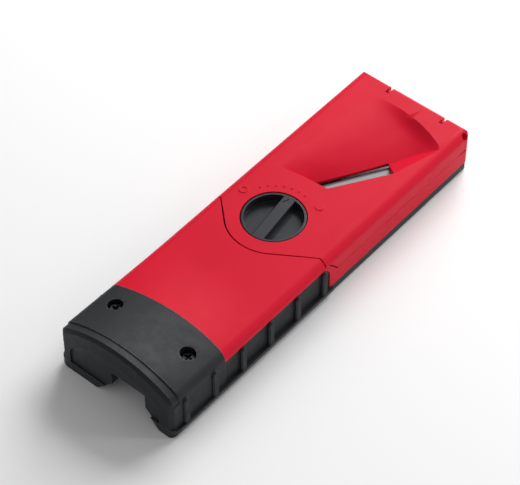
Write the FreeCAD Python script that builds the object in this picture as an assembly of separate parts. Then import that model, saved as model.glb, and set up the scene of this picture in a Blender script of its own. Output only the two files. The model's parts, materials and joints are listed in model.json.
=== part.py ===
import FreeCAD, Part
import math
import os
from FreeCAD import Vector

# Hand plane that chamfers the edges of plasterboard.
# Millimetres.  X across, Y along (the cutting end is +Y, the grip end is -Y), Z up.
# The origin is on the resting plane, under the middle of the bounding box.

# ---- driving dimensions ----
LENGTH = 190.0
BODY_WIDTH = 58.6
LIP_WIDTH = 61.4          # over the sole's side lips and the grip ribs
TOP = 22.4                # height of the flat part of the top
SWELL = 8.4               # extra height of the palm swell at the grip end
SWELL_START = -36.0       # where the palm swell begins
EDGE_R = 4.3              # rounding along the two long top edges
NOSE_LEFT_R = 1.4         # plan rounding of the left corner at the cutting end
NOSE_RIGHT_R = 2.0        # plan rounding of the right corner at the cutting end
HEEL_R = 2.4              # plan rounding of the two corners at the grip end
FAR_R = 1.6               # rounding of the top edge at the cutting end
HEEL_BEVEL = 1.8          # bevel round the top of the grip end
WALL = 2.2
TOP_WALL = 2.5
SOLE_EDGE = 4.6           # height of the sole's side strip
PART_LINE = 12.6          # height of the joint between the cover and the housing
SEAM_GAP = 0.7
SIDE_GAP = 0.25           # gap between the cover and the housing along the side
SIDE_SEAM_Z = 18.6        # height at which the seam turns forward down the side
KNOB_X, KNOB_Y = -2.8, 3.8
KNOB_BORE_R = 14.0
GROOVE_X0, GROOVE_X1 = -3.0, 14.6     # walls of the square channel above the V
GROOVE_V = 7.7            # height of the 45 degree faces
GROOVE_ROOF = 15.0
TUNNEL_WALL = 1.8
ROOF_WALL = 1.4
HINGE_Y, HINGE_Z = 92.2, 20.2
HINGE_PIN_R = 0.9
RUN_FIT = 0.05            # radial clearance of a running fit
EAR_X = (-11.9, 16.8)     # middles of the two hinge ears
EAR_T = 1.3
EAR_GAP = 0.3
EAR_R = 1.6
BLADE_LENGTH, BLADE_WIDTH, BLADE_T = 41.0, 14.5, 0.7
BLADE_TILT = 13.0         # degrees, rise of the blade from its cutting edge
BLADE_SKEW = 59.7         # degrees, cutting edge from the X axis
EDGE_MID = (4.0, 48.4)    # plan position of the cutting edge's middle
EDGE_Z = GROOVE_ROOF + BLADE_T - 0.35   # the edge cuts 0.35 below the channel's roof
RIB_PITCH, RIB_FIRST, RIB_COUNT = 16.8, -86.9, 6
RIB_W, RIB_TOP, CAP_RIB_TOP = 3.2, 17.8, 19.2
PANEL_TOP = 18.1          # top of the soft side panels
PANEL_END = 1.0           # where the side panels stop
PANEL_T = 1.8
PANEL_SET = 0.5           # how far the panel lies inside the cover's side
CAP_CENTRE = (3.5, -201.3)
CAP_R = 140.0             # plan arc between the end cap and the rear cover
CAP_SCREW_X, CAP_SCREW_Y = 19.0, -73.6

HALF_L = LENGTH / 2
HALF_W = BODY_WIDTH / 2
HALF_LIP = LIP_WIDTH / 2
ROOF_TOP = GROOVE_ROOF + ROOF_WALL
BIG = 130.0


# ---- small helpers ----
def box(x0, x1, y0, y1, z0, z1):
    return Part.makeBox(x1 - x0, y1 - y0, z1 - z0, Vector(x0, y0, z0))


def post(x, y, z0, z1, r):
    return Part.makeCylinder(r, z1 - z0, Vector(x, y, z0))


def cross_bar(x0, x1, y, z, r):
    return Part.makeCylinder(r, x1 - x0, Vector(x0, y, z), Vector(1, 0, 0))


def plan_prism(points, z0, z1):
    wire = Part.makePolygon([Vector(x, y, z0) for x, y in points + points[:1]])
    return Part.Face(wire).extrude(Vector(0, 0, z1 - z0))


def long_prism(points, y0, y1):
    wire = Part.makePolygon([Vector(x, y0, z) for x, z in points + points[:1]])
    return Part.Face(wire).extrude(Vector(0, y1 - y0, 0))


def rounded_plan(inset, y0, y1, z0, z1):
    """Rectangle in plan with rounded corners; y0 or y1 at an end of the body is rounded there."""
    w = HALF_W - inset
    block = box(-w, w, y0, y1, z0, z1)
    corners = ((-w, y0, HEEL_R), (w, y0, HEEL_R), (-w, y1, NOSE_LEFT_R), (w, y1, NOSE_RIGHT_R))
    for x, y, r in corners:
        edges = [e for e in block.Edges
                 if abs(e.BoundBox.Center.x - x) < 1e-6 and abs(e.BoundBox.Center.y - y) < 1e-6]
        block = block.makeFillet(max(r - inset, 0.5), edges)
    return block


# ---- outer form ----
def swell(y):
    """Height of the palm swell above the flat top."""
    if y >= SWELL_START:
        return 0.02
    return 0.02 + SWELL * ((SWELL_START - y) / (SWELL_START + HALF_L)) ** 1.5


def crown_profile(y, inset):
    """Closed section of the outer form at y, shrunk by inset at the sides and top."""
    w = HALF_W - inset
    top = TOP - inset
    r = max(EDGE_R - inset, 0.8)
    k = swell(y)
    crown_r = (w * w + k * k) / (2 * k)
    crown_z = top + k - crown_r
    fillet_z = crown_z + math.sqrt((crown_r - r) ** 2 - (w - r) ** 2)
    lean = math.atan2(w - r, fillet_z - crown_z)
    meet = Vector(crown_r * math.sin(lean), y, crown_z + crown_r * math.cos(lean))
    mid_angle = (lean + math.pi / 2) / 2
    mid = Vector(w - r + r * math.sin(mid_angle), y, fillet_z + r * math.cos(mid_angle))
    side = Vector(w, y, fillet_z)

    def mirrored(v):
        return Vector(-v.x, v.y, v.z)

    edges = [
        Part.LineSegment(Vector(-w, y, 0), Vector(w, y, 0)).toShape(),
        Part.LineSegment(Vector(w, y, 0), side).toShape(),
        Part.Arc(side, mid, meet).toShape(),
        Part.Arc(meet, Vector(0, y, top + k), mirrored(meet)).toShape(),
        Part.Arc(mirrored(meet), mirrored(mid), mirrored(side)).toShape(),
        Part.LineSegment(mirrored(side), Vector(-w, y, 0)).toShape(),
    ]
    return Part.Wire(edges)


def outer_form(inset):
    """The whole body as one block: flat at the cutting end, crowned at the grip."""
    flat_from = SWELL_START + 16
    stations = [flat_from, SWELL_START, -48, -60, -72, -84, -96, -108]
    grip = Part.makeLoft([crown_profile(y, inset) for y in stations], True)
    nose = Part.Face(crown_profile(flat_from, inset)).extrude(Vector(0, BIG - flat_from, 0))
    plan = rounded_plan(inset, -HALF_L + inset, HALF_L - inset, -1, 60)
    return grip.fuse(nose).common(plan)


def far_rounding():
    """What is removed to round the top edge at the cutting end."""
    y, z = HALF_L - FAR_R, TOP - FAR_R
    return box(-BIG, BIG, y, BIG, z, 60).cut(cross_bar(-BIG, BIG, y, z, FAR_R))


def seam_region(gap):
    """Everything in front of the seam between the two covers."""
    r = KNOB_BORE_R + 5.9 + gap
    left = Vector(-26.6, -1.4 - gap, 0)
    right = Vector(25.8, -1.3 - gap, 0)
    centre = Vector(KNOB_X, KNOB_Y, 0)

    def tangent(corner, turn):
        away = corner - centre
        angle = math.atan2(away.y, away.x) + turn * math.acos(r / away.Length)
        return Vector(centre.x + r * math.cos(angle), centre.y + r * math.sin(angle), 0)

    t_left = tangent(left, 1)
    t_right = tangent(right, -1)
    low = Vector(centre.x, centre.y - r, 0)
    line = Part.LineSegment
    edges = [
        line(Vector(-BIG, left.y, 0), left).toShape(),
        line(left, t_left).toShape(),
        Part.Arc(t_left, low, t_right).toShape(),
        line(t_right, right).toShape(),
        line(right, Vector(BIG, right.y, 0)).toShape(),
        line(Vector(BIG, right.y, 0), Vector(BIG, BIG, 0)).toShape(),
        line(Vector(BIG, BIG, 0), Vector(-BIG, BIG, 0)).toShape(),
        line(Vector(-BIG, BIG, 0), Vector(-BIG, left.y, 0)).toShape(),
    ]
    front = Part.Face(Part.Wire(edges)).extrude(Vector(0, 0, 60))
    slope = [(-60, SIDE_SEAM_Z), (1.2 - gap, SIDE_SEAM_Z), (7.2 - gap, PART_LINE - 1),
             (-60, PART_LINE - 1)]
    wire = Part.makePolygon([Vector(-BIG, y, z) for y, z in slope + slope[:1]])
    wedge = Part.Face(wire).extrude(Vector(2 * BIG, 0, 0))
    return front.cut(wedge)


def cap_region():
    """Everything on the grip side of the plan arc that ends the end cap."""
    return Part.makeCylinder(CAP_R, 60, Vector(CAP_CENTRE[0], CAP_CENTRE[1], -5))


def panel_recess(gap):
    """Pockets in both sides for the soft panels, rounded at their front upper corner."""
    y1 = PANEL_END + gap
    block = box(-BIG, BIG, -200, y1, SOLE_EDGE, PANEL_TOP + gap)
    corner = [e for e in block.Edges
              if abs(e.BoundBox.YMin - y1) < 1e-6 and abs(e.BoundBox.ZMin - PANEL_TOP - gap) < 1e-6
              and e.BoundBox.XLength > 1]
    block = block.makeFillet(6.0, corner)
    inner = HALF_W - PANEL_SET - PANEL_T
    return block.cut(box(-inner, inner, -201, y1 + 1, -1, 60))


# ---- blade frame: x along the edge, y up the slope away from the edge, z out of the top face ----
def blade_placement():
    skew = math.radians(BLADE_SKEW)
    along = Vector(math.cos(skew), math.sin(skew), 0)
    back = Vector(math.sin(skew), -math.cos(skew), 0)
    tilt = math.radians(BLADE_TILT)
    slope = Vector(back.x * math.cos(tilt), back.y * math.cos(tilt), math.sin(tilt))
    normal = slope.cross(along) * -1
    if normal.z < 0:
        normal = normal * -1
    along = slope.cross(normal)
    base = Vector(EDGE_MID[0], EDGE_MID[1], EDGE_Z)
    m = FreeCAD.Matrix(along.x, slope.x, normal.x, base.x,
                       along.y, slope.y, normal.y, base.y,
                       along.z, slope.z, normal.z, base.z, 0, 0, 0, 1)
    return FreeCAD.Placement(m)


def in_blade_frame(shape):
    moved = shape.copy()
    moved.Placement = blade_placement().multiply(moved.Placement)
    return moved


# ---- chip scoop ----
SCOOP_APEX = (-22.4, 1.3)        # the scoop is a fan about this point
SCOOP_LEFT = math.radians(85.85)  # bearing of its left limit
SCOOP_MOUTH = math.radians(59.7)  # bearing of its lower edge along the mouth
SCOOP_RIM_R = 83.5               # distance of its far rim at the left limit
SCOOP_TIP_T = 1.08               # where the rim meets the right wall, in parts of the fan
SCOOP_WALL = 5.0                 # width of the steep wall under the far rim
SCOOP_RAMP = 19.0                # length of the gentle ramp up to the right tip
SCOOP_DEPTH = 6.6
SCOOP_SKIN = 1.8
SKIN_LOW = GROOVE_ROOF + 0.25    # the skin stays above the channel
NEAR_LEFT = (-20.6, 26.7)
NEAR_CORNER = (4.1, 30.0)
MOUTH_RIGHT = (19.9, 54.6)
SCOOP_TIP = (26.5, 78.3)
WALL_FOOT = 0.6           # the right wall's foot stands this high over the deepest floor


def saturate(x):
    """x near zero, levelling off smoothly at 1 and -1."""
    return x / (1 + abs(x) ** 3) ** (1 / 3)


def scoop_depth(x, y):
    """Depth of the scoop's floor below the flat top (negative outside the scoop)."""
    dx, dy = x - SCOOP_APEX[0], y - SCOOP_APEX[1]
    r = math.hypot(dx, dy)
    bearing = math.atan2(dy, dx)
    t = (SCOOP_LEFT - bearing) / (SCOOP_LEFT - SCOOP_MOUTH)
    if t <= 0:
        return 0.5 * SCOOP_DEPTH * max(t, -1.0)
    fan = SCOOP_DEPTH * min(t ** 1.7, 1.15)
    rim_r = SCOOP_RIM_R + 12.5 * t - 5.0 * t * t
    inside = rim_r - r
    steep = max(min((SCOOP_TIP_T - t) / 0.5, 1.0), 0.0)
    wall = saturate(inside / SCOOP_WALL)
    ramp = saturate(inside / SCOOP_RAMP)
    return fan * (steep * wall + (1 - steep) * ramp)


def scoop_floor(drop):
    """Solid standing on the scoop's floor, lowered by drop."""
    pitch = 2.0
    xs = [-26 + pitch * i for i in range(31)]
    ys = [20 + pitch * j for j in range(41)]
    grid = [[Vector(x, y, TOP - scoop_depth(x, y) - drop) for y in ys] for x in xs]
    surface = Part.BSplineSurface()
    surface.interpolate(grid)
    return surface.toShape().extrude(Vector(0, 0, 40))


def mouth_line(offset, reach_back, reach_on):
    """Two plan points of the mouth's floor edge, offset square to it."""
    skew = math.radians(BLADE_SKEW)
    ax, ay = math.cos(skew), math.sin(skew)
    mx, my = EDGE_MID[0] - ay * offset, EDGE_MID[1] + ax * offset
    return ((mx - ax * reach_back, my - ay * reach_back), (mx + ax * reach_on, my + ay * reach_on))


MOUTH_GAP = 0.35


def scoop_plan(grow, over_blade):
    """Plan outline of the scoop, with or without the corner that hangs over the blade."""
    start, end = mouth_line(MOUTH_GAP, 22.6 + grow, 15.5)
    left = NEAR_LEFT[0] - 4
    corner = [(MOUTH_RIGHT[0] + grow, MOUTH_RIGHT[1] - grow)] if over_blade else []
    points = [(left, NEAR_LEFT[1] - 0.6 - grow), (start[0], start[1] - grow), end] + corner
    points += [(SCOOP_TIP[0] + grow, SCOOP_TIP[1]), (24 + grow, 90), (left, 90)]
    return plan_prism(points, -5, 60)


def right_wall(drop):
    """Half space above the plane that falls from the scoop's right edge to the mouth's end."""
    end = mouth_line(MOUTH_GAP, 0, 15.5)[1]
    a = Vector(MOUTH_RIGHT[0], MOUTH_RIGHT[1], TOP - drop)
    b = Vector(SCOOP_TIP[0], SCOOP_TIP[1], TOP - drop)
    c = Vector(end[0], end[1], TOP - SCOOP_DEPTH + WALL_FOOT - drop)
    u = (b - a).normalize()
    down = (c - a) - u * (c - a).dot(u)
    down.normalize()
    normal = u.cross(down)
    if normal.z < 0:
        normal = normal * -1
    corner = a - u * BIG - down * BIG
    wire = Part.makePolygon([corner, corner + u * 2 * BIG, corner + u * 2 * BIG + down * 2 * BIG,
                             corner + down * 2 * BIG, corner])
    return Part.Face(wire).extrude(normal * BIG)


def scoop_hollow():
    """Air of the scoop, and of the mouth between its floor and the cover's near edge."""
    bowl = scoop_floor(0).common(scoop_plan(0, True)).common(right_wall(0))
    start, end = mouth_line(MOUTH_GAP, 22.6, 15.5)
    throat = plan_prism([start, NEAR_CORNER, MOUTH_RIGHT, end], -5, 60)
    return bowl, throat


def scoop_block(grow, drop, low, over_blade):
    """The skin under the scoop down to low, before the scoop itself is cut out of it."""
    block = scoop_floor(drop).common(scoop_plan(grow, over_blade))
    block = block.common(right_wall(drop + 0.8))
    return block.common(box(-BIG, BIG, -BIG, BIG, low, 60))


# ---- fixed pieces ----
def groove(y0, y1):
    reach = 2.0
    return long_prism([(GROOVE_X0 - GROOVE_V - reach, -reach), (GROOVE_X0, GROOVE_V),
                       (GROOVE_X0, GROOVE_ROOF), (GROOVE_X1, GROOVE_ROOF),
                       (GROOVE_X1, GROOVE_V), (GROOVE_X1 + GROOVE_V + reach, -reach)], y0, y1)


def tunnel(y0, y1, grow):
    foot = GROOVE_V + TUNNEL_WALL * math.sqrt(2) + grow
    side = TUNNEL_WALL + grow
    knee = GROOVE_V + TUNNEL_WALL * (math.sqrt(2) - 1)
    top = ROOF_TOP + grow
    return long_prism([(GROOVE_X0 - foot, 0), (GROOVE_X0 - side, knee), (GROOVE_X0 - side, top),
                       (GROOVE_X1 + side, top), (GROOVE_X1 + side, knee), (GROOVE_X1 + foot, 0)],
                      y0, y1)


def low_rounding(half, y0, y1, r):
    """What is removed to round both lower long edges of the sole to radius r."""
    bars = []
    for side in (-1, 1):
        x0, x1 = sorted((side * (half - r), side * (half + 5)))
        round_part = Part.makeCylinder(r, y1 - y0, Vector(side * (half - r), y0, r), Vector(0, 1, 0))
        bars.append(box(x0, x1, y0, y1, -1, r).cut(round_part))
    return bars


GRIP_LOW_R = 4.0
NOSE_LOW_R = 1.2
TUNNEL_END = 89.4         # the tunnel stops short of the hinge ears
SOLE_SCREWS = ((-22.5, 24.0), (-22.5, 78.0), (24.4, 30.0), (24.4, 80.0))
SOLE_FLOOR = 2.6
CAP_SEAT = 20.6


def sole():
    plate = rounded_plan(0, -HALF_L, HALF_L - 0.4, 0, SOLE_EDGE)
    lip = box(-HALF_LIP, HALF_LIP, -HALF_L, PANEL_END + 1.5, 0, SOLE_EDGE)
    heel = [e for e in lip.Edges if e.BoundBox.ZLength > 1 and e.BoundBox.YMax < 0]
    lip = lip.makeFillet(HEEL_R + HALF_LIP - HALF_W, heel)
    plate = plate.fuse(lip).removeSplitter()
    plate = plate.cut(low_rounding(HALF_LIP, -BIG, PANEL_END + 1.5, GRIP_LOW_R))
    plate = plate.cut(low_rounding(HALF_W, PANEL_END + 1.5, BIG, NOSE_LOW_R))
    pocket = box(-HALF_W + WALL, HALF_W - WALL, -HALF_L + 4, HALF_L - 3, SOLE_FLOOR, 60)
    pocket = pocket.cut(tunnel(-BIG, BIG, 0))
    body = plate.cut(pocket).fuse(tunnel(-HALF_L + 4, TUNNEL_END, 0))
    for x in (-CAP_SCREW_X, CAP_SCREW_X):
        body = body.fuse(post(x, CAP_SCREW_Y, 1, CAP_SEAT - 2.0, 2.4))
        body = body.cut(post(x, CAP_SCREW_Y, 6, 60, 1.3))
    body = body.cut(groove(-BIG, BIG))
    for x, y in SOLE_SCREWS:
        body = body.cut(post(x, y, -1, 60, 1.5)).cut(post(x, y, -1, 1.4, 2.4))
    for x, y in keeper_holes():
        body = body.cut(post(x, y, KEEPER_TIP, 60, KEEPER_SHANK_R))
    mouth = in_blade_frame(box(-24, 24, -4.5, 0, -4, 30))
    seat = in_blade_frame(box(-24, 24, -0.01, 4.0, -BLADE_T, 30))
    mouth = mouth.common(box(GROOVE_X0, GROOVE_X1, -BIG, BIG, 0, 60))
    body = body.cut(mouth).cut(seat)
    body = body.cut(scoop_block(1.4, SCOOP_SKIN + 1.0, GROOVE_ROOF - 1.0, False))
    body = body.cut(in_blade_frame(box(-30, 30, 3.9, BLADE_WIDTH + 1.5, -BLADE_T, 30)))
    return body


PLUG_SET = 0.8            # how far the end plug lies inside the cap's end
BAND_Y = -90.2            # the cap's end band is a little lower from here
BAND_DROP = 0.4


def arch_block(y0, y1, grow):
    """Arched block that closes the grip end of the sole."""
    mid = (GROOVE_X0 - 21.5 + 22.5) / 2
    half = 23.5 + grow
    foot = Vector(mid - half, y0, SOLE_EDGE)
    knee = Vector(mid - half, y0, 9.5)
    shoulder = Vector(mid - 18.6, y0, 17.4 + grow)
    crown = Vector(mid, y0, 22.2 + grow)
    bend = Vector(mid - 22.3 - grow, y0, 14.2 + grow * 0.4)

    def mirrored(v):
        return Vector(2 * mid - v.x, v.y, v.z)

    edges = [
        Part.LineSegment(foot, knee).toShape(),
        Part.Arc(knee, bend, shoulder).toShape(),
        Part.Arc(shoulder, crown, mirrored(shoulder)).toShape(),
        Part.Arc(mirrored(shoulder), mirrored(bend), mirrored(knee)).toShape(),
        Part.LineSegment(mirrored(knee), mirrored(foot)).toShape(),
        Part.LineSegment(mirrored(foot), foot).toShape(),
    ]
    return Part.Face(Part.Wire(edges)).extrude(Vector(0, y1 - y0, 0))


def end_plug():
    return arch_block(-HALF_L + PLUG_SET, -HALF_L + 4, 0).cut(groove(-BIG, BIG))


def ribs(indices, side, top):
    """Upright grip ribs with rounded tops on one side."""
    made = []
    for i in indices:
        y = RIB_FIRST + i * RIB_PITCH
        x0, x1 = HALF_W - 2.0, HALF_LIP - 0.2
        r = RIB_W / 2
        bar = box(x0, x1, y - r, y + r, SOLE_EDGE, top - r)
        tip = cross_bar(x0, x1, y, top - r, r)
        rib = bar.fuse(tip).removeSplitter()
        rim = [e for e in rib.Edges if abs(e.BoundBox.XMin - x1) < 1e-6
               and e.BoundBox.ZMax > SOLE_EDGE + 0.1]
        rib = rib.makeChamfer(0.6, rim)
        made.append(rib if side > 0 else rib.mirror(Vector(0, 0, 0), Vector(1, 0, 0)))
    return made


def grip_cap(form, inner):
    body = form.common(cap_region()).common(box(-BIG, BIG, -BIG, BIG, SOLE_EDGE, 60))
    end = -HALF_L
    wide = 1.0
    bevel_y = end + HEEL_BEVEL + wide
    bevel = Part.makeLoft([crown_profile(bevel_y, -wide), crown_profile(end, HEEL_BEVEL)],
                          True, True)
    body = body.cut(box(-BIG, BIG, -BIG, bevel_y, 0, 60).cut(bevel))
    step = Part.makeLoft([crown_profile(-108, BAND_DROP), crown_profile(BAND_Y, BAND_DROP)],
                         True, True)
    body = body.cut(box(-BIG, BIG, -BIG, BAND_Y, PANEL_TOP, 60).cut(step))
    hollow = inner.common(box(-BIG, BIG, -HALF_L + 4, BIG, 0, 60))
    for x in (-CAP_SCREW_X, CAP_SCREW_X):
        hollow = hollow.cut(post(x, CAP_SCREW_Y, CAP_SEAT - 1.9, 60, 5.0))
    body = body.cut(hollow)
    body = body.cut(arch_block(-HALF_L - 1, -HALF_L + 4, 0))
    for x in (-CAP_SCREW_X, CAP_SCREW_X):
        body = body.cut(post(x, CAP_SCREW_Y, CAP_SEAT, 60, 3.35))
        body = body.cut(post(x, CAP_SCREW_Y, 0, 60, 1.7))
    return body.fuse(ribs([0, 1], 1, CAP_RIB_TOP) + ribs([0, 1], -1, CAP_RIB_TOP)).removeSplitter()


def cross_screw(x, y, seat, head_r, head_h, shank_r, tip):
    """Pan-head screw with a cross recess, head on seat, shank down to tip."""
    head = post(x, y, seat, seat + head_h, head_r)
    rim = [e for e in head.Edges if e.BoundBox.ZMin > seat + head_h - 1e-6]
    head = head.makeFillet(min(0.6, head_h * 0.45), rim)
    arm, w, deep = head_r * 0.62, head_r * 0.2, head_h * 0.6
    z = seat + head_h - deep
    cross = box(x - arm, x + arm, y - w, y + w, z, seat + 9)
    cross = cross.fuse(box(x - w, x + w, y - arm, y + arm, z, seat + 9))
    return head.fuse(post(x, y, tip, seat, shank_r)).cut(cross).removeSplitter()


def cap_screws():
    return [cross_screw(x, CAP_SCREW_Y, CAP_SEAT, 2.75, 1.9, 1.3, 6.5)
            for x in (-CAP_SCREW_X, CAP_SCREW_X)]


def under_screw(x, y):
    """Countersunk screw driven upwards through the sole."""
    head = Part.makeCone(2.3, 1.2, 1.2, Vector(x, y, 0.2))
    shank = post(x, y, 1.3, 10.5, 1.2)
    slot = box(x - 1.5, x + 1.5, y - 0.3, y + 0.3, -1, 0.8)
    slot = slot.fuse(box(x - 0.3, x + 0.3, y - 1.5, y + 1.5, -1, 0.8))
    return head.fuse(shank).cut(slot).removeSplitter()


def sole_screws():
    return [under_screw(x, y) for x, y in SOLE_SCREWS]


def rear_cover(form, inner):
    """Palm cover; a thin wall behind each soft panel carries the panel."""
    body = form.cut(inner).cut(cap_region()).cut(seam_region(SEAM_GAP))
    body = body.cut(panel_recess(0.0))
    low = box(-BIG, BIG, HOUSING_BACK, BIG, -1, PART_LINE)
    body = body.common(box(-BIG, BIG, -BIG, BIG, SOLE_EDGE, 60)).cut(low)
    return body


def side_grip(side):
    inner = HALF_W - PANEL_SET - PANEL_T
    sheet = panel_recess(0.0).common(box(inner, HALF_W - PANEL_SET, -80, 60, SOLE_EDGE, 60))
    sheet = sheet.cut(cap_region())
    wall = box(-BIG, HALF_W, -BIG, BIG, -1, 60).cut(panel_recess(0.0))
    body = sheet.fuse(ribs(range(2, RIB_COUNT), 1, RIB_TOP)).cut(wall).removeSplitter()
    if side < 0:
        body = body.mirror(Vector(0, 0, 0), Vector(1, 0, 0)).cut(cap_region())
    return body


HOUSING_BACK = -6.0       # where the housing's side walls end under the panels
BARREL_R = HALF_L - HINGE_Y


def between_ears(z0, z1, y0, y1):
    return box(EAR_X[0], EAR_X[1], y0, y1, z0, z1)


def lower_housing():
    z0 = SOLE_EDGE
    ring = rounded_plan(0, -HALF_L, HALF_L, z0, PART_LINE)
    hole = rounded_plan(WALL, -HALF_L - 5, HALF_L - WALL, z0 - 1, 60)
    body = ring.cut(hole)
    body = body.cut(box(-BIG, BIG, -BIG, HOUSING_BACK, -1, 60))
    body = body.cut(panel_recess(0.0))
    body = body.cut(tunnel(-BIG, TUNNEL_END + 0.2, 0.1))
    tongue_out, tongue_in = WALL + 0.3, WALL + 1.3
    for side in (-1, 1):
        xs = sorted((side * (HALF_W - tongue_out), side * (HALF_W - tongue_in)))
        body = body.fuse(box(xs[0], xs[1], 10, 82, z0 + 4, PART_LINE + 1.8))
        rail = sorted((side * (HALF_W - WALL + 0.5), side * (HALF_W - tongue_in)))
        body = body.fuse(box(rail[0], rail[1], 10, 82, z0 + 4, PART_LINE - 0.5))
    skirt_reach = math.hypot(BARREL_R, HINGE_Z - PART_LINE)
    body = body.cut(cross_bar(-BIG, BIG, HINGE_Y, HINGE_Z, skirt_reach + 0.3))
    bridge = between_ears(z0, GROOVE_ROOF + 1.6, HALF_L - WALL, HALF_L - 0.4)
    body = body.fuse(bridge)
    for x in EAR_X:
        stem = box(x - EAR_T / 2, x + EAR_T / 2, HINGE_Y - EAR_R, HALF_L - 0.6, z0 + 2, HINGE_Z)
        ear = stem.fuse(cross_bar(x - EAR_T / 2, x + EAR_T / 2, HINGE_Y, HINGE_Z, EAR_R))
        body = body.fuse(ear)
    body = body.cut(cross_bar(-BIG, BIG, HINGE_Y, HINGE_Z, HINGE_PIN_R))
    body = body.cut(groove(-BIG, BIG))
    for x, y in SOLE_SCREWS:
        wall_x = HALF_W - WALL - 0.2 if x > 0 else -(HALF_W - WALL - 0.2)
        x0, x1 = sorted((x, wall_x))
        body = body.fuse(post(x, y, z0, 11.5, 2.6)).fuse(box(x0, x1, y - 1, y + 1, z0, 11))
        body = body.cut(post(x, y, 0, 10.6, 1.2))
    return body.removeSplitter()


def hinge_pin():
    return cross_bar(-22.0, HALF_W - 2.9, HINGE_Y, HINGE_Z, HINGE_PIN_R)


BLADE_HOLES = (-11.0, 11.0)
BLADE_CORNER = 2.5        # clipped off both back corners
BLADE_HOLE_Y = 11.3
BLADE_HOLE_R = 1.3


def blade():
    w, t = BLADE_WIDTH, BLADE_T
    half = BLADE_LENGTH / 2
    bevel = 2.6
    section = [(0.0, -t + 0.04), (bevel, 0.0), (w, 0.0), (w, -t), (0.0, -t)]
    wire = Part.makePolygon([Vector(-half, y, z) for y, z in section + section[:1]])
    plate = Part.Face(wire).extrude(Vector(2 * half, 0, 0))
    clip = BLADE_CORNER
    plate = plate.common(plan_prism([(-half, -1), (half, -1), (half, w - clip), (half - clip, w),
                                     (clip - half, w), (-half, w - clip)], -5, 5))
    for x in BLADE_HOLES:
        plate = plate.cut(post(x, BLADE_HOLE_Y, -5, 5, BLADE_HOLE_R))
    return in_blade_frame(plate)


def blade_bed():
    half = BLADE_LENGTH / 2 - 3
    block = in_blade_frame(box(-half, half, 4.2, BLADE_WIDTH - 0.5, -8.0, -BLADE_T))
    return block.common(box(-BIG, BIG, -BIG, BIG, ROOF_TOP, 60))


def blade_pins():
    made = []
    for x in BLADE_HOLES:
        pin = post(x, BLADE_HOLE_Y, -BLADE_T, 0.3, BLADE_HOLE_R - 0.15)
        tip = Part.makeCone(BLADE_HOLE_R - 0.15, BLADE_HOLE_R - 0.6, 0.4, Vector(x, BLADE_HOLE_Y, 0.3))
        made.append(in_blade_frame(pin.fuse(tip)))
    return made


# ---- lock ----
LUG_OUT = 18.0            # reach of the lug from the knob's axis
LUG_HALF = 10.0           # half the lug's width, in degrees
LUG_REST = 222.0          # bearing of the lug at rest; it is locked at 180
CAM_R = 12.5
CAM_Z0, CAM_Z1 = 16.65, 17.3      # the lug's plate, between the tunnel and the knob
CAM_SCREW_OUT = 7.0       # its two screws stand this far out, along the knob's bar
CAM_SCREW_TOP = 20.5
CAM_SHANK_R, CAM_HEAD_R, CAM_HEAD_H = 0.9, 1.6, 0.45
FLANGE_R = 15.3
FLANGE_Z0, FLANGE_Z1 = 18.6, 19.3
RETAINER_FROM, RETAINER_TO = -42.0, 158.0
RETAINER_Z0, RETAINER_Z1 = 17.6, 18.3
RETAINER_OUT = 19.5
RETAINER_SCREWS = (-25.0, 58.0, 141.0)
RETAINER_SCREW_R = 17.6
RETAINER_SCREW_TOP = 20.7
KEEPER_X0 = KNOB_X - LUG_OUT - 4.0
KEEPER_X1 = KNOB_X - LUG_OUT - 0.6
KEEPER_HALF = 4.0
KEEPER_FOOT, KEEPER_FOOT_H = 5.5, 2.0
KEEPER_SCREW_Y = 7.0      # its screws stand this far to each side of the post's middle
KEEPER_Z = CAM_Z1 + 0.25  # underside of the plate, over the lug
PLATE_T = 1.0
KEEPER_SHANK_R = 0.9
KEEPER_TIP = 0.9


def around_knob(r, bearing):
    a = math.radians(bearing)
    return KNOB_X + r * math.cos(a), KNOB_Y + r * math.sin(a)


def keeper_holes():
    x = (KEEPER_X0 + KEEPER_X1) / 2
    return [(x, KNOB_Y + dy) for dy in (-KEEPER_SCREW_Y, KEEPER_SCREW_Y)]


def lock_keeper():
    """Post on the sole's floor that carries the keeper plate."""
    y0, y1 = KNOB_Y - KEEPER_HALF, KNOB_Y + KEEPER_HALF
    stem = box(KEEPER_X0, KEEPER_X1, y0, y1, SOLE_FLOOR, KEEPER_Z)
    foot = box(KEEPER_X0, KEEPER_X1, y0 - KEEPER_FOOT, y1 + KEEPER_FOOT,
               SOLE_FLOOR, SOLE_FLOOR + KEEPER_FOOT_H)
    body = stem.fuse(foot)
    for x, y in keeper_holes():
        body = body.cut(post(x, y, 0, 60, KEEPER_SHANK_R))
    return body.removeSplitter()


def keeper_plate():
    """Steel plate on the post that the lug turns under."""
    return box(KEEPER_X0, KNOB_X - FLANGE_R - 0.4, KNOB_Y - KEEPER_HALF, KNOB_Y + KEEPER_HALF,
               KEEPER_Z, KEEPER_Z + PLATE_T)


def keeper_screws():
    return [cross_screw(x, y, SOLE_FLOOR + KEEPER_FOOT_H, 1.6, 1.3, KEEPER_SHANK_R, KEEPER_TIP)
            for x, y in keeper_holes()]


def sector(r0, r1, a0, a1, z0, z1):
    """Ring sector about the knob's axis between two bearings."""
    outer = Part.makeCylinder(r1, z1 - z0, Vector(KNOB_X, KNOB_Y, z0), Vector(0, 0, 1), a1 - a0)
    outer.rotate(Vector(KNOB_X, KNOB_Y, 0), Vector(0, 0, 1), a0)
    return outer.cut(post(KNOB_X, KNOB_Y, z0 - 1, z1 + 1, r0))


KNOB_R = KNOB_BORE_R - 0.3
KNOB_RIM_Z = TOP - 0.2
KNOB_FLOOR = TOP - 4.2
KNOB_BAR_W = 5.6
KNOB_BAR_BEARING = 98.0


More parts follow.
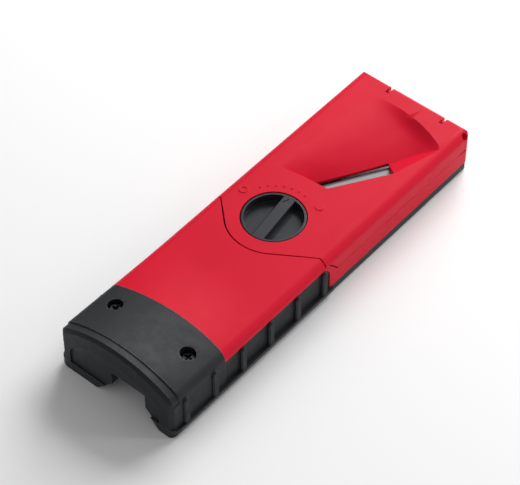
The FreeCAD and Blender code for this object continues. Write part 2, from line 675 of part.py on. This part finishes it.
def lock_knob():
    cup = post(KNOB_X, KNOB_Y, CAM_Z1, KNOB_RIM_Z, KNOB_R)
    rim = [e for e in cup.Edges if e.BoundBox.ZMin > KNOB_RIM_Z - 1e-6]
    cup = cup.makeFillet(0.5, rim)
    well = post(KNOB_X, KNOB_Y, KNOB_FLOOR, 60, KNOB_R - 1.1)
    bar = box(-KNOB_BAR_W / 2, KNOB_BAR_W / 2, -KNOB_R + 0.6, KNOB_R - 0.6, KNOB_FLOOR - 0.2,
              KNOB_RIM_Z)
    edges = [e for e in bar.Edges if e.BoundBox.ZMin > KNOB_RIM_Z - 1e-6
             and e.BoundBox.YLength > 5]
    bar = bar.makeFillet(0.6, edges)
    arrow_tip = KNOB_R - 1.6
    arrow = plan_prism([(0, arrow_tip), (-1.7, arrow_tip - 3.2), (1.7, arrow_tip - 3.2)],
                       KNOB_RIM_Z - 0.35, 60)
    bar = bar.cut(arrow)
    bar.rotate(Vector(0, 0, 0), Vector(0, 0, 1), KNOB_BAR_BEARING - 90)
    bar.translate(Vector(KNOB_X, KNOB_Y, 0))
    body = cup.cut(well).fuse(bar)
    body = body.fuse(sector(KNOB_R - 1, FLANGE_R, 0, 360, FLANGE_Z0, FLANGE_Z1))
    for bearing in (KNOB_BAR_BEARING, KNOB_BAR_BEARING + 180):
        body = body.cut(cam_screw(bearing, RUN_FIT))
    return body.removeSplitter()


def cam_screw(bearing, grow):
    """Countersunk screw from below into the knob's bar; grow makes the hole for it."""
    x, y = around_knob(CAM_SCREW_OUT, bearing)
    head = Part.makeCone(CAM_HEAD_R + grow, CAM_SHANK_R + grow, CAM_HEAD_H, Vector(x, y, CAM_Z0))
    return head.fuse(post(x, y, CAM_Z0, CAM_SCREW_TOP + grow, CAM_SHANK_R + grow))


def lock_cam():
    """Steel plate screwed under the knob, with the lug that holds the cover shut."""
    disc = post(KNOB_X, KNOB_Y, CAM_Z0, CAM_Z1, CAM_R)
    lug = sector(CAM_R - 1, LUG_OUT, LUG_REST - LUG_HALF, LUG_REST + LUG_HALF, CAM_Z0, CAM_Z1)
    plate = disc.fuse(lug)
    for bearing in (KNOB_BAR_BEARING, KNOB_BAR_BEARING + 180):
        plate = plate.cut(cam_screw(bearing, RUN_FIT))
    return plate.removeSplitter()


def cam_screws():
    made = []
    for bearing in (KNOB_BAR_BEARING, KNOB_BAR_BEARING + 180):
        x, y = around_knob(CAM_SCREW_OUT, bearing)
        slot = box(x - 1.0, x + 1.0, y - 0.2, y + 0.2, CAM_Z0 - 0.1, CAM_Z0 + 0.3)
        made.append(cam_screw(bearing, 0).cut(slot).removeSplitter())
    return made


def knob_retainer():
    """Steel strip under the knob's flange, screwed to the cover."""
    plate = sector(KNOB_R + 0.4, RETAINER_OUT, RETAINER_FROM, RETAINER_TO,
                   RETAINER_Z0, RETAINER_Z1)
    for bearing in RETAINER_SCREWS:
        x, y = around_knob(RETAINER_SCREW_R, bearing)
        plate = plate.cut(post(x, y, 0, 60, 1.1))
    return plate


def knob_washer():
    """Thin washer between the knob's flange and the cover."""
    return sector(KNOB_R + 0.5, FLANGE_R, 0, 360, FLANGE_Z1 + 0.15, TOP - TOP_WALL)


def retainer_screws():
    made = []
    for bearing in RETAINER_SCREWS:
        x, y = around_knob(RETAINER_SCREW_R, bearing)
        low = RETAINER_Z0 - 0.7
        head = post(x, y, low, RETAINER_Z0, 1.9)
        slot = box(x - 1.2, x + 1.2, y - 0.2, y + 0.2, low - 0.1, low + 0.35)
        slot = slot.fuse(box(x - 0.2, x + 0.2, y - 1.2, y + 1.2, low - 0.1, low + 0.35))
        shank = post(x, y, RETAINER_Z0, RETAINER_SCREW_TOP, 0.9)
        made.append(head.fuse(shank).cut(slot).removeSplitter())
    return made


# ---- cover ----
BLADE_CLEAR = 0.3         # gap between the blade and the cover over it
PRESS_SPACE = 1.4         # room above the blade for its leaf spring
PRESS_FROM = 12.0         # that room starts this far behind the cutting edge


def blade_press():
    """Leaf spring under the cover that holds the blade down when the cover is shut."""
    y0, y1 = 12.9, 14.1
    leaf = box(-14, 14, y0, y1, 0.15, 0.5)
    for x in (-14, 11):
        leaf = leaf.fuse(box(x, x + 3, y0, y1, 0.5, PRESS_SPACE))
    return in_blade_frame(leaf.removeSplitter())


def cover_marks():
    """Raised marks beside the knob: a closed ring for locked, an open ring for free."""
    z0, z1 = TOP - 0.4, TOP + 0.25
    closed_x, closed_y = around_knob(19.6, 56)
    open_x, open_y = around_knob(19.6, 169)
    ring = post(closed_x, closed_y, z0, z1, 2.0)
    dot = post(open_x, open_y, z0, z1, 2.0).cut(post(open_x, open_y, z0 - 1, z1 + 1, 1.3))
    ticks = []
    for bearing in range(82, 150, 11):
        x, y = around_knob(17.6, bearing)
        ticks.append(post(x, y, z0, z1, 0.5))
    return [ring, dot] + ticks


def front_cover(form, inner):
    shell = form.common(seam_region(0)).cut(far_rounding())
    shell = shell.common(box(-BIG, BIG, -BIG, BIG, PART_LINE + SIDE_GAP, 60))
    hollow = inner.common(seam_region(0))
    block = scoop_block(2.0, SCOOP_SKIN, SKIN_LOW, True)
    over = in_blade_frame(box(-30, 30, 0.05 - MOUTH_GAP, BLADE_WIDTH + 1.0, -6, BLADE_CLEAR))
    press = in_blade_frame(box(-30, 30, PRESS_FROM, BLADE_WIDTH + 1.0, -6, PRESS_SPACE))
    keep = block.common(hollow).cut(over).cut(press)
    knuckle = box(-24.0, HALF_W - 2.8, HINGE_Y - 3.0, HALF_L, HINGE_Z - 2.6, TOP).common(form)
    hollow = hollow.cut(knuckle)
    body = shell.cut(hollow).fuse(keep)
    for bearing in RETAINER_SCREWS:
        x, y = around_knob(RETAINER_SCREW_R, bearing)
        body = body.fuse(post(x, y, RETAINER_Z1, TOP - 1, 1.9))
    body = body.fuse(cover_marks())
    bowl, throat = scoop_hollow()
    body = body.cut(bowl).cut(throat)
    body = body.cut(post(KNOB_X, KNOB_Y, 0, 60, KNOB_BORE_R))
    body = body.cut(post(KNOB_X, KNOB_Y, 0, TOP - TOP_WALL, FLANGE_R + 0.3))
    for bearing in RETAINER_SCREWS:
        x, y = around_knob(RETAINER_SCREW_R, bearing)
        body = body.cut(post(x, y, 18, RETAINER_SCREW_TOP, 0.9))
    for x in EAR_X:
        half = EAR_T / 2 + EAR_GAP
        body = body.cut(box(x - half, x + half, HINGE_Y - EAR_R - EAR_GAP, BIG, 0, 60))
    body = body.cut(cross_bar(-22.1, HALF_W + 2, HINGE_Y, HINGE_Z, HINGE_PIN_R + RUN_FIT))
    body = body.cut(cross_bar(HALF_W - 2.4, HALF_W + 2, HINGE_Y, HINGE_Z, 1.5))
    under = between_ears(0, HINGE_Z, HINGE_Y - BARREL_R - 0.6, BIG)
    barrel = cross_bar(-BIG, BIG, HINGE_Y, HINGE_Z, BARREL_R)
    body = body.cut(under.cut(barrel))
    return body


def write(name, shape):
    if isinstance(shape, list):
        shape = Part.makeCompound(shape)
    if len(shape.Solids) == 1:
        shape = shape.Solids[0]
    print("%-16s solids %d  volume %.1f  valid %s" % (name, len(shape.Solids), shape.Volume,
                                                     shape.isValid()))
    shape.exportStep("parts/%s.step" % name)


def main():
    os.makedirs("parts", exist_ok=True)
    form = outer_form(0)
    inner = outer_form(WALL)
    inner = inner.cut(box(-BIG, BIG, -BIG, BIG, TOP - TOP_WALL, 60).common(
        box(-BIG, BIG, SWELL_START, BIG, 0, 60)))
    write("sole", sole())
    write("end_plug", end_plug())
    write("grip_cap", grip_cap(form, outer_form(3.0)))
    write("cap_screws", cap_screws())
    write("sole_screws", sole_screws())
    write("rear_cover", rear_cover(form, outer_form(3.6)))
    write("side_grip_left", side_grip(-1))
    write("side_grip_right", side_grip(1))
    write("lower_housing", lower_housing())
    write("hinge_pin", hinge_pin())
    write("blade", blade())
    write("blade_bed", blade_bed())
    write("blade_pins", blade_pins())
    write("lock_keeper", lock_keeper())
    write("keeper_plate", keeper_plate())
    write("keeper_screws", keeper_screws())
    write("front_cover", front_cover(form, inner))
    write("lock_knob", lock_knob())
    write("lock_cam", lock_cam())
    write("cam_screws", cam_screws())
    write("knob_retainer", knob_retainer())
    write("retainer_screws", retainer_screws())
    write("knob_washer", knob_washer())
    write("blade_press", blade_press())


main()
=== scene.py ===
import bpy
import json
import math
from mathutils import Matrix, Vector

# Looks for a hand plane that chamfers plasterboard edges.  Metres, in the CAD model's frame.

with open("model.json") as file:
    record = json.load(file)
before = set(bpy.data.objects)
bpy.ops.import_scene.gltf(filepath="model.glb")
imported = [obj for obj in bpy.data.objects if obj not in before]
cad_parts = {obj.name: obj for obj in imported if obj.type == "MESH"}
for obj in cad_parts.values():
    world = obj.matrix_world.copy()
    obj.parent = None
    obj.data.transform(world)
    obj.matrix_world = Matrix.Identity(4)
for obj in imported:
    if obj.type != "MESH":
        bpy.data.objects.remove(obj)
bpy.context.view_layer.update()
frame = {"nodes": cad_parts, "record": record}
nodes = frame["nodes"]

MM = 0.001
COLOUR_A, COLOUR_B, COLOUR_OUT = 6, 7, 2   # a colour mix node's sockets, by number
EDGE_SAMPLES = 6
# cosine of the angle between the true and the rounded normal, away from an edge and on it
COS_OFF_EDGE = 0.99
COS_ON_EDGE = 0.85


# ---- materials ----
class Shader:
    """A node material with a Principled shader, and short ways to add to it."""

    def __init__(self, name):
        self.material = bpy.data.materials.new(name)
        self.material.use_nodes = True
        self.tree = self.material.node_tree
        self.shader = self.tree.nodes["Principled BSDF"]

    def add(self, kind, **settings):
        node = self.tree.nodes.new(kind)
        for key, value in settings.items():
            setattr(node, key, value)
        return node

    def link(self, source, target):
        self.tree.links.new(source, target)

    def place(self):
        """Place on the piece, in metres."""
        return self.add("ShaderNodeTexCoord").outputs["Object"]

    def noise(self, scale, detail=4.0, roughness=0.55, stretch=None):
        """Noise in object space, scale in waves per metre."""
        noise = self.add("ShaderNodeTexNoise")
        noise.inputs["Scale"].default_value = scale
        noise.inputs["Detail"].default_value = detail
        noise.inputs["Roughness"].default_value = roughness
        where = self.place()
        if stretch:
            mapping = self.add("ShaderNodeMapping")
            mapping.inputs["Scale"].default_value = stretch
            self.link(where, mapping.inputs["Vector"])
            where = mapping.outputs["Vector"]
        self.link(where, noise.inputs["Vector"])
        return noise.outputs["Fac"]

    def band(self, source, low, high, out_low=0.0, out_high=1.0):
        """Maps source from low..high to out_low..out_high, clamped."""
        node = self.add("ShaderNodeMapRange")
        for key, value in (("From Min", low), ("From Max", high),
                           ("To Min", out_low), ("To Max", out_high)):
            node.inputs[key].default_value = value
        self.link(source, node.inputs["Value"])
        return node.outputs["Result"]

    def edges(self, radius):
        """About 1 close to sharp edges, 0 elsewhere."""
        rounded = self.add("ShaderNodeBevel", samples=EDGE_SAMPLES)
        rounded.inputs["Radius"].default_value = radius
        flat = self.add("ShaderNodeNewGeometry").outputs["Normal"]
        dot = self.add("ShaderNodeVectorMath", operation="DOT_PRODUCT")
        self.link(rounded.outputs["Normal"], dot.inputs[0])
        self.link(flat, dot.inputs[1])
        return self.band(dot.outputs["Value"], COS_OFF_EDGE, COS_ON_EDGE)

    def product(self, a, b):
        """a times b, both sockets."""
        node = self.add("ShaderNodeMath", operation="MULTIPLY")
        self.link(a, node.inputs[0])
        self.link(b, node.inputs[1])
        return node.outputs[0]

    def mix(self, factor, a, b):
        """Colour mix; a and b are colours or sockets."""
        node = self.add("ShaderNodeMix", data_type="RGBA")
        self.link(factor, node.inputs["Factor"])
        for socket, value in ((node.inputs[COLOUR_A], a), (node.inputs[COLOUR_B], b)):
            if isinstance(value, tuple):
                socket.default_value = (*value, 1.0)
            else:
                self.link(value, socket)
        return node.outputs[COLOUR_OUT]

    def bump(self, height, distance, strength):
        """Normal of a surface that height raises by up to distance metres."""
        node = self.add("ShaderNodeBump")
        node.inputs["Strength"].default_value = strength
        node.inputs["Distance"].default_value = distance
        self.link(height, node.inputs["Height"])
        return node.outputs["Normal"]

    def set(self, **values):
        """Sets the Principled shader's sockets; values are numbers, colours or sockets."""
        for key, value in values.items():
            socket = self.shader.inputs[key.replace("_", " ")]
            if isinstance(value, bpy.types.NodeSocket):
                self.link(value, socket)
            else:
                socket.default_value = (*value, 1.0) if isinstance(value, tuple) else value


# linear colours
RED = (0.67, 0.006, 0.029)
RED_DEEP = (0.63, 0.005, 0.025)
RED_WORN = (0.76, 0.035, 0.065)
DARK = (0.021, 0.023, 0.028)
GRIP = (0.0145, 0.016, 0.019)
BLACKENED = (0.07, 0.07, 0.075)
PLATED = (0.62, 0.62, 0.6)
GROUND = (0.27, 0.282, 0.285)
FLOOR_WHITE = (0.94, 0.94, 0.94)

NO_STRETCH = (1, 1, 1)
ALONG_GRIND = (0.2, 6.0, 1.0)   # draws the blade's scratches out along one axis


def moulded_red():
    """Satin plastic: fine spark texture, faint flow clouds, lighter rubbed edges."""
    s = Shader("moulded_red")
    clouds = s.band(s.noise(30.0, 2.0), 0.3, 0.7)
    colour = s.mix(clouds, RED_DEEP, RED)
    rubbed = s.product(s.edges(0.0004), s.band(s.noise(420.0), 0.4, 0.65))
    colour = s.mix(rubbed, colour, RED_WORN)
    rough = s.band(s.noise(160.0, 5.0), 0.3, 0.75, 0.40, 0.50)
    normal = s.bump(s.noise(2600.0, 2.0), 0.00004, 0.3)
    s.set(Base_Color=colour, Roughness=rough, Normal=normal, Specular_IOR_Level=0.1, IOR=1.5)
    return s.material


def moulded_black(name, base, lift, rough_low, rough_high, grain_scale, grain_depth):
    """Dark moulded plastic or soft grip with a fine grain and greyed edges."""
    s = Shader(name)
    clouds = s.band(s.noise(90.0, 4.0), 0.3, 0.7)
    colour = s.mix(clouds, tuple(c * 0.88 for c in base), base)
    worn = s.product(s.edges(0.0005), s.band(s.noise(500.0), 0.3, 0.6))
    colour = s.mix(worn, colour, lift)
    rough = s.band(s.noise(220.0, 5.0), 0.3, 0.75, rough_low, rough_high)
    normal = s.bump(s.noise(grain_scale, 3.0), grain_depth, 0.6)
    s.set(Base_Color=colour, Roughness=rough, Normal=normal, Specular_IOR_Level=0.24)
    return s.material


def metal(name, base, rough_low, rough_high, stretch, depth):
    """Steel with stains and fine scratches, which stretch can draw out along an axis."""
    s = Shader(name)
    scratches = s.noise(900.0, 6.0, 0.7, stretch)
    stains = s.band(s.noise(120.0, 4.0), 0.35, 0.75)
    colour = s.mix(stains, tuple(c * 0.86 for c in base), base)
    rough = s.band(scratches, 0.3, 0.7, rough_low, rough_high)
    s.set(Base_Color=colour, Roughness=rough, Normal=s.bump(scratches, depth, 0.5), Metallic=1.0)
    return s.material


def black_nylon():
    return moulded_black("nylon_black", DARK, lift=(0.11, 0.115, 0.12), rough_low=0.42,
                         rough_high=0.55, grain_scale=1800.0, grain_depth=0.00008)


def soft_black():
    return moulded_black("soft_grip", GRIP, lift=(0.09, 0.093, 0.1), rough_low=0.48,
                         rough_high=0.62, grain_scale=2400.0, grain_depth=0.0001)


def black_knob():
    return moulded_black("knob_black", DARK, lift=(0.12, 0.125, 0.135), rough_low=0.32,
                         rough_high=0.44, grain_scale=2200.0, grain_depth=0.00005)


def blackened_steel():
    return metal("blackened_steel", BLACKENED, rough_low=0.3, rough_high=0.5,
                 stretch=NO_STRETCH, depth=0.00002)


def bright_steel():
    return metal("plated_steel", PLATED, rough_low=0.22, rough_high=0.4,
                 stretch=NO_STRETCH, depth=0.00001)


def blade_steel():
    return metal("ground_steel", GROUND, rough_low=0.48, rough_high=0.62,
                 stretch=ALONG_GRIND, depth=0.00001)


def make_materials():
    """The material of each slot that the record names."""
    return {
        "red_plastic": moulded_red(),
        "black_nylon": black_nylon(),
        "soft_black": soft_black(),
        "black_knob": black_knob(),
        "blackened_steel": blackened_steel(),
        "bright_steel": bright_steel(),
        "blade_steel": blade_steel(),
    }


# ---- moulded edges ----
# width of the softened edges, in millimetres
EDGE_WIDTH = {"front_cover": 0.25, "rear_cover": 0.25, "grip_cap": 0.3, "lock_knob": 0.2,
              "side_grip_left": 0.3, "side_grip_right": 0.3, "sole": 0.3, "end_plug": 0.4,
              "lower_housing": 0.2}
WELD_DISTANCE = 0.002 * MM
CORNER_ANGLE = math.radians(38)   # corners that turn by less than this stay as they are


def soften_edges(piece, width):
    """Rounds the corners of a CAD mesh a little, as moulded edges are."""
    weld = piece.modifiers.new("weld", "WELD")
    weld.merge_threshold = WELD_DISTANCE
    bevel = piece.modifiers.new("edges", "BEVEL")
    bevel.width = width * MM
    bevel.segments = 2
    bevel.limit_method = "ANGLE"
    bevel.angle_limit = CORNER_ANGLE
    bevel.use_clamp_overlap = True
    weighted = piece.modifiers.new("weighted", "WEIGHTED_NORMAL")
    weighted.weight = 100
    weighted.keep_sharp = True


def dress(materials):
    """Gives every CAD node its material, and the moulded ones softened edges."""
    slot_of = {row["node"]: row["material_slot"] for row in frame["record"]["subparts"]}
    for name, piece in nodes.items():
        piece.data.materials.clear()
        piece.data.materials.append(materials[slot_of[name]])
        if name in EDGE_WIDTH:
            soften_edges(piece, EDGE_WIDTH[name])


# ---- stage ----
FLOOR_SIZE = 6.0
FLOOR_GAP = 0.2 * MM   # the floor lies this far under the sole


def floor():
    bpy.ops.mesh.primitive_plane_add(size=FLOOR_SIZE, location=(0, 0, -FLOOR_GAP))
    plane = bpy.context.object
    plane.name = "floor"
    s = Shader("floor_white")
    s.set(Base_Color=FLOOR_WHITE, Roughness=0.9)
    plane.data.materials.append(s.material)


WORLD_STRENGTH = 0.34


def area_light(name, at, target, size, power):
    """A rectangular light at one place, turned to another; metres and watts."""
    data = bpy.data.lights.new(name, "AREA")
    data.shape = "RECTANGLE"
    data.size, data.size_y = size
    data.energy = power
    lamp = bpy.data.objects.new(name, data)
    lamp.location = at
    lamp.rotation_mode = "QUATERNION"
    lamp.rotation_quaternion = (Vector(target) - Vector(at)).to_track_quat("-Z", "Y")
    bpy.context.scene.collection.objects.link(lamp)


def lights():
    world = bpy.data.worlds.new("studio")
    bpy.context.scene.world = world
    world.use_nodes = True
    background = world.node_tree.nodes["Background"]
    background.inputs["Color"].default_value = (1.0, 1.0, 1.0, 1.0)
    background.inputs["Strength"].default_value = WORLD_STRENGTH
    middle = (0, 0, 0)
    area_light("key", at=(-0.12, 1.0, 0.62), target=middle, size=(1.0, 1.0), power=20.5)
    area_light("near", at=(-0.35, -0.8, 0.55), target=middle, size=(0.5, 0.4), power=0.3)
    area_light("rim", at=(0.75, 0.5, 0.42), target=(0, 0, 0.02), size=(0.15, 0.6), power=1.2)


# the camera's place in metres, and how it is turned: round the z axis, and down from level
CAMERA_AT = (0.3759, -0.4533, 0.6783)
CAMERA_AZIMUTH = math.radians(40.18)
CAMERA_BELOW = math.radians(48.54)
SENSOR_MM = 36.0
LENS_MM = 150.15


def camera():
    data = bpy.data.cameras.new("camera")
    data.sensor_width = SENSOR_MM
    data.lens = LENS_MM
    data.clip_start = 0.05
    data.clip_end = 20.0
    cam = bpy.data.objects.new("camera", data)
    cam.location = CAMERA_AT
    cam.rotation_euler = (math.pi / 2 - CAMERA_BELOW, 0.0, CAMERA_AZIMUTH)
    bpy.context.scene.collection.objects.link(cam)
    bpy.context.scene.camera = cam


def colours():
    view = bpy.context.scene.view_settings
    view.view_transform = "Standard"
    view.look = "None"


camera()
lights()
floor()
colours()
dress(make_materials())
